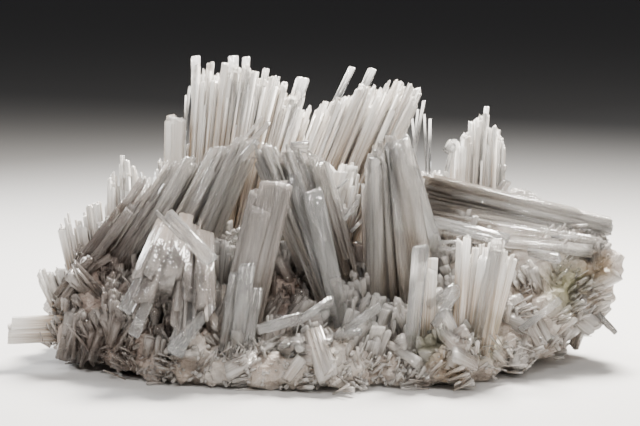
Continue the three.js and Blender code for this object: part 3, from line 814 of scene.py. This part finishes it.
def coverWithDruse(plan, crust):
    # tufts that lie along the crust's faces, taller ones between the sprays, plates, needles and a fringe
    cluster = Cluster(plan["seed"])
    dice = cluster.dice
    mesh = crust.data
    count = len(mesh.polygons)
    centres, normals, areas = np.empty(count * 3), np.empty(count * 3), np.empty(count)
    mesh.polygons.foreach_get("center", centres)
    mesh.polygons.foreach_get("normal", normals)
    mesh.polygons.foreach_get("area", areas)
    centres = centres.reshape(-1, 3) / mm - layoutShift
    normals = normals.reshape(-1, 3)
    across, depth, height = centres.T
    outside = areas * (normals[:, 2] > plan["underLimit"]) * (depth > plan["from"]) * (depth < plan["to"])
    inside = outside * (np.abs(depth) < plan["insideDepth"]) * (across > plan["insideFrom"])
    inside = inside * (across < plan["insideTo"]) * (height > plan["insideAbove"])
    rim = outside * (np.abs(normals[:, 2]) < plan["rimSlope"]) * (height < plan["rimHeight"])

    def spots(kind, chances):
        return dice.choice(count, plan[kind], p=chances / chances.sum())

    def size(kind):
        return dice.uniform(*plan[kind + "Length"]), dice.uniform(*plan[kind + "Width"])

    def one(shape, root, way, length, width, sunk=plan["sunk"]):
        foot, tip = root - way * sunk * length, root + way * (1 - sunk) * length
        if tip[0] < plan["ends"][0] or tip[0] > plan["ends"][1]:
            return
        lowest = plan["floorGap"] + width * plan["clearOfFloor"]
        foot[2], tip[2] = max(foot[2], lowest), max(tip[2], lowest)
        side = np.cross(way, dice.normal(0, 1, 3))
        thick = width * dice.uniform(*plan["thick"])
        cluster.grow(shape, foot, tip, width, thick, side, dice.normal(0, plan["slant"]), plan["end"])

    def tuft(spot, shapes, lengths, widths, lift):
        rise = lift * np.clip(height[spot] / plan["fullRise"], 0, 1)  # higher ones point up the face
        right = plan["rightLean"] * (across[spot] > plan["rightEnd"])
        lying = np.array([dice.normal(0, plan["sideways"]) + right, 0, rise])
        way = unit(normals[spot] * plan["outwards"] + lying + dice.normal(0, plan["loose"], 3))
        spread = dice.uniform(*plan["tuftSize"])
        tall = dice.uniform(*plan["tuftTall"])
        for n in range(dice.integers(*plan["tuftCrystals"])):
            offset = dice.normal(0, spread / 2, 3)
            root = centres[spot] + offset - way * offset.dot(way)
            length = tall * dice.uniform(*lengths)
            width = widths[0] * (widths[1] / widths[0]) ** dice.random()
            one(dice.choice(shapes), root, unit(way + dice.normal(0, plan["tuftSpread"], 3)), length, width)

    for spot in spots("tufts", outside):
        tuft(spot, ["stub", "stub", "fibre"], plan["length"], plan["width"], plan["lift"])
    for spot in spots("tallTufts", inside):
        tuft(spot, ["cut", "stub", "fibre"], plan["tallLength"], plan["tallWidth"], plan["tallLift"])
    for spot in spots("plates", outside * (height > plan["insideAbove"])):
        way = unit(np.cross(normals[spot], dice.normal(0, 1, 3)) + normals[spot] * plan["plateTilt"])
        one("cut", centres[spot], way, *size("plate"), plan["plateSunk"])
    for spot in spots("needles", inside):
        lift = np.array([0, 0, plan["needleLift"]])
        way = unit(normals[spot] + dice.normal(0, plan["needleLoose"], 3) + lift)
        one("fibre", centres[spot], way, *size("needle"))
    for spot in spots("fringes", rim):
        drop = np.array([0, 0, plan["fringeDrop"]])
        way = unit(normals[spot] + dice.normal(0, plan["fringeLoose"], 3) + drop)
        one("stub", centres[spot], way, *size("fringe"))
    return cluster.piece(plan["piece"], ["drusy"], "clear_crystal", [])


coverWithDruse(frontDruse, crustRockPiece)
coverWithDruse(rearDruse, crustRockPiece)


# Floor, lights and camera

studio = {
    "floor": 14.0, "floorColour": (0.5, 0.49, 0.48), "floorRoughness": 0.8, "ambient": (0.035, 0.035, 0.037),
    "keyAt": (0.07, 0.11, 0.27), "keySize": 0.1, "keyPower": 8.0, "keyColour": (1.0, 0.96, 0.9),
    "fillAt": (0.3, -0.5, 0.34), "fillSize": 0.3, "fillPower": 2.2, "fillColour": (1.0, 0.95, 0.89),
    "rimAt": (-0.2, 0.2, 0.2), "rimSize": 0.12, "rimPower": 1.6, "rimColour": (0.96, 0.98, 1.0),
    "glintAt": (0.02, -0.3, 0.32), "glintSize": 0.03, "glintPower": 0.8, "glintColour": (1.0, 1.0, 1.0),
    "sparkAt": (-0.24, -0.2, 0.26), "sparkSize": 0.02, "sparkPower": 0.7, "sparkColour": (1.0, 0.98, 0.95),
    "aimAt": (0.0, 0.0, 0.04),
}


def pointAt(thing, target):
    way = Vector(target) - thing.location
    thing.rotation_euler = way.to_track_quat("-Z", "Y").to_euler()


def addLight(name, plan):
    light = bpy.data.lights.new(name, "AREA")
    light.size = plan[name + "Size"]
    light.energy = plan[name + "Power"]
    light.color = plan[name + "Colour"]
    lamp = bpy.data.objects.new(name, light)
    lamp.location = plan[name + "At"]
    pointAt(lamp, plan["aimAt"])
    bpy.context.collection.objects.link(lamp)


def addStudio(plan):
    dropSelection()
    bpy.ops.mesh.primitive_plane_add(size=plan["floor"], location=(0, 0, 0))
    floor = bpy.context.object
    floor.name = "floor"
    paint = bpy.data.materials.new("floorPaint")
    paint.use_nodes = True
    shader = paint.node_tree.nodes["Principled BSDF"]
    shader.inputs["Base Color"].default_value = rgba(plan["floorColour"])
    shader.inputs["Roughness"].default_value = plan["floorRoughness"]
    floor.data.materials.append(paint)
    world = bpy.data.worlds.new("studio")
    world.use_nodes = True
    world.node_tree.nodes["Background"].inputs["Color"].default_value = rgba(plan["ambient"])
    bpy.context.scene.world = world
    for name in ("key", "fill", "rim", "glint", "spark"):
        addLight(name, plan)


addStudio(studio)

view = {
    "lens": 100.0, "sensor": 36.0, "nearest": 0.01,
    "distance": 0.405, "elevation": 8.0, "target": (0.0006, -0.0007, 0.034),
}


def addCamera(plan):
    lens = bpy.data.cameras.new("camera")
    lens.lens = plan["lens"]
    lens.sensor_width = plan["sensor"]
    lens.clip_start = plan["nearest"]
    camera = bpy.data.objects.new("camera", lens)
    rise = math.radians(plan["elevation"])
    away = Vector((0, -math.cos(rise), math.sin(rise))) * plan["distance"]
    camera.location = Vector(plan["target"]) + away
    pointAt(camera, plan["target"])
    bpy.context.collection.objects.link(camera)
    bpy.context.scene.camera = camera


addCamera(view)
print("studio and camera set")
